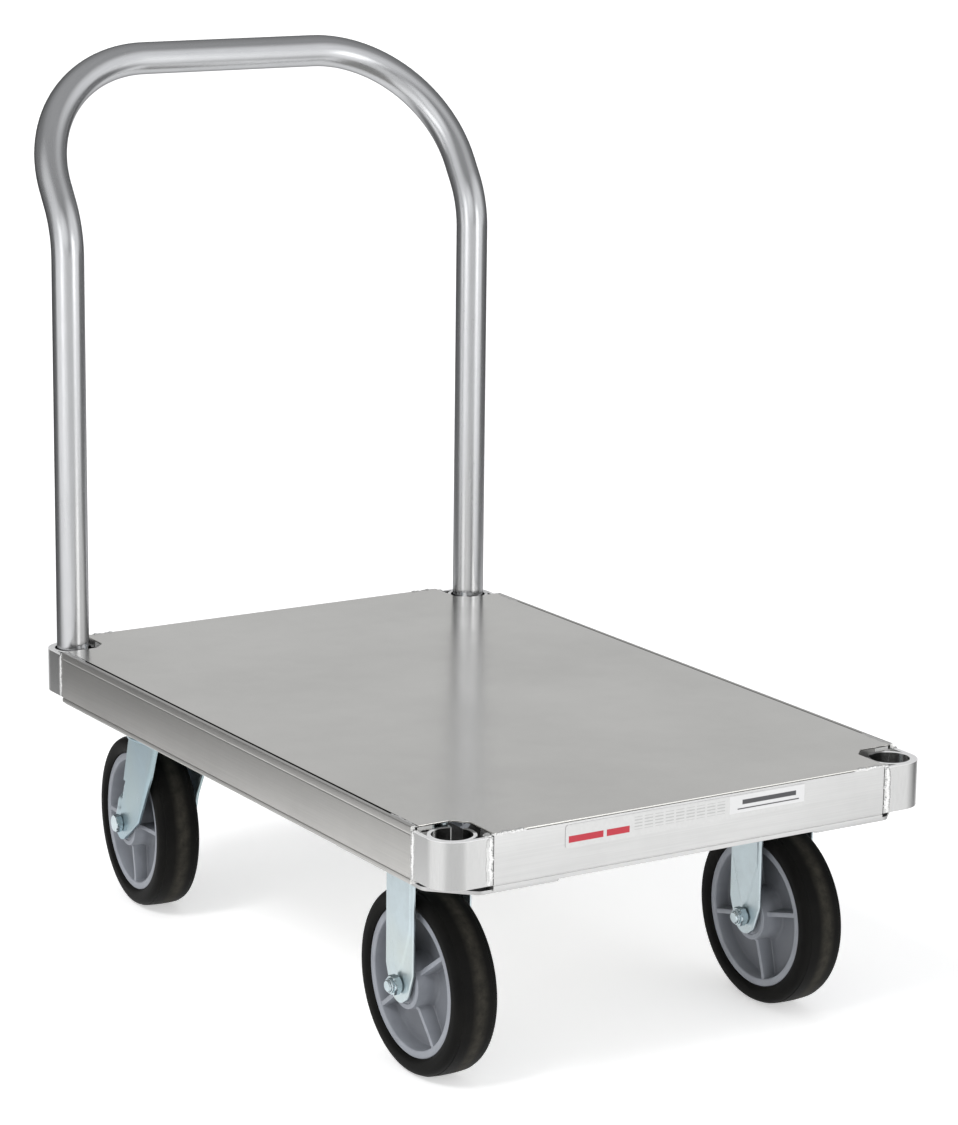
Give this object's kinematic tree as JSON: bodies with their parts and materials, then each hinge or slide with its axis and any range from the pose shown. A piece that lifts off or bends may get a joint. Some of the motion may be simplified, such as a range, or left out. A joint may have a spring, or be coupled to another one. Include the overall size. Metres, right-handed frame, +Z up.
{
  "type": "flatbed platform truck",
  "caption": "Flat aluminium platform truck with a lift-out bent-tube push handle in rear corner sockets, rigid front casters and swivelling rear casters.",
  "frame": {"origin": "on the floor, under the middle of the whole truck's box (handle included), so the deck's centre is 54 mm towards -Y", "axes": "+X across the width, +Y along the length towards the handle, +Z up; the labelled front end faces -Y"},
  "size_m": [0.6096, 1.0222, 0.999],
  "materials": {
    "deck_aluminium": "satin mill finish",
    "rail_aluminium": "satin extruded",
    "socket_aluminium": "satin extruded",
    "handle_aluminium": "satin brushed tube",
    "zinc_steel": "bright zinc plate",
    "bolt_steel": "bright zinc plate",
    "bearing_steel": "plain steel",
    "core_plastic": "matte moulded",
    "tyre_rubber": "matte moulded rubber",
    "label_film": "blank printed film"
  },
  "bodies": {
    "chassis": {"deck_sheet": "deck_aluminium", "rail_front": "rail_aluminium", "rail_rear": "rail_aluminium", "rail_left": "rail_aluminium", "rail_right": "rail_aluminium", "corner_socket_front_left": "socket_aluminium", "corner_socket_front_right": "socket_aluminium", "corner_socket_rear_left": "socket_aluminium", "corner_socket_rear_right": "socket_aluminium", "caster_mount_front_left": "rail_aluminium", "caster_mount_front_right": "rail_aluminium", "caster_mount_rear_left": "rail_aluminium", "caster_mount_rear_right": "rail_aluminium", "cross_member_front": "rail_aluminium", "cross_member_middle": "rail_aluminium", "cross_member_rear": "rail_aluminium", "front_label": "label_film", "front_left_axle_bolt": "bolt_steel", "front_left_axle_nut": "bolt_steel", "front_left_axle_sleeve": "zinc_steel", "front_left_fork": "zinc_steel", "front_right_axle_bolt": "bolt_steel", "front_right_axle_nut": "bolt_steel", "front_right_axle_sleeve": "zinc_steel", "front_right_fork": "zinc_steel", "rear_left_top_plate": "zinc_steel", "rear_left_ball_race": "zinc_steel", "rear_left_kingpin": "bolt_steel", "rear_right_top_plate": "zinc_steel", "rear_right_ball_race": "zinc_steel", "rear_right_kingpin": "bolt_steel"},
    "handle": {"handle_tube": "handle_aluminium"},
    "front_left_wheel": {"front_left_tyre": "tyre_rubber", "front_left_wheel_core": "core_plastic", "front_left_roller_bearing": "bearing_steel"},
    "front_right_wheel": {"front_right_tyre": "tyre_rubber", "front_right_wheel_core": "core_plastic", "front_right_roller_bearing": "bearing_steel"},
    "rear_left_swivel": {"rear_left_axle_bolt": "bolt_steel", "rear_left_axle_nut": "bolt_steel", "rear_left_axle_sleeve": "zinc_steel", "rear_left_yoke": "zinc_steel"},
    "rear_left_wheel": {"rear_left_tyre": "tyre_rubber", "rear_left_wheel_core": "core_plastic", "rear_left_roller_bearing": "bearing_steel"},
    "rear_right_swivel": {"rear_right_axle_bolt": "bolt_steel", "rear_right_axle_nut": "bolt_steel", "rear_right_axle_sleeve": "zinc_steel", "rear_right_yoke": "zinc_steel"},
    "rear_right_wheel": {"rear_right_tyre": "tyre_rubber", "rear_right_wheel_core": "core_plastic", "rear_right_roller_bearing": "bearing_steel"}
  },
  "joints": [
    {"name": "handle_lift", "type": "slide", "parent": "chassis", "child": "handle", "axis": [0, 0, 1], "range_m": [0, 0.09]},
    {"name": "front_left_wheel_spin", "type": "hinge", "parent": "chassis", "child": "front_left_wheel", "pos_m": [-0.221, -0.34967, 0.1016], "axis": [1, 0, 0], "continuous": true},
    {"name": "front_right_wheel_spin", "type": "hinge", "parent": "chassis", "child": "front_right_wheel", "pos_m": [0.221, -0.34967, 0.1016], "axis": [1, 0, 0], "continuous": true},
    {"name": "rear_left_swivel_turn", "type": "hinge", "parent": "chassis", "child": "rear_left_swivel", "pos_m": [-0.221, 0.24233, 0.23], "axis": [0, 0, 1], "continuous": true},
    {"name": "rear_left_wheel_spin", "type": "hinge", "parent": "rear_left_swivel", "child": "rear_left_wheel", "pos_m": [-0.21573, 0.29607, 0.1016], "axis": [0.9952, -0.0976, 0], "continuous": true},
    {"name": "rear_right_swivel_turn", "type": "hinge", "parent": "chassis", "child": "rear_right_swivel", "pos_m": [0.221, 0.24233, 0.23], "axis": [0, 0, 1], "continuous": true},
    {"name": "rear_right_wheel_spin", "type": "hinge", "parent": "rear_right_swivel", "child": "rear_right_wheel", "pos_m": [0.22627, 0.29607, 0.1016], "axis": [0.9952, -0.0976, 0], "continuous": true}
  ]
}
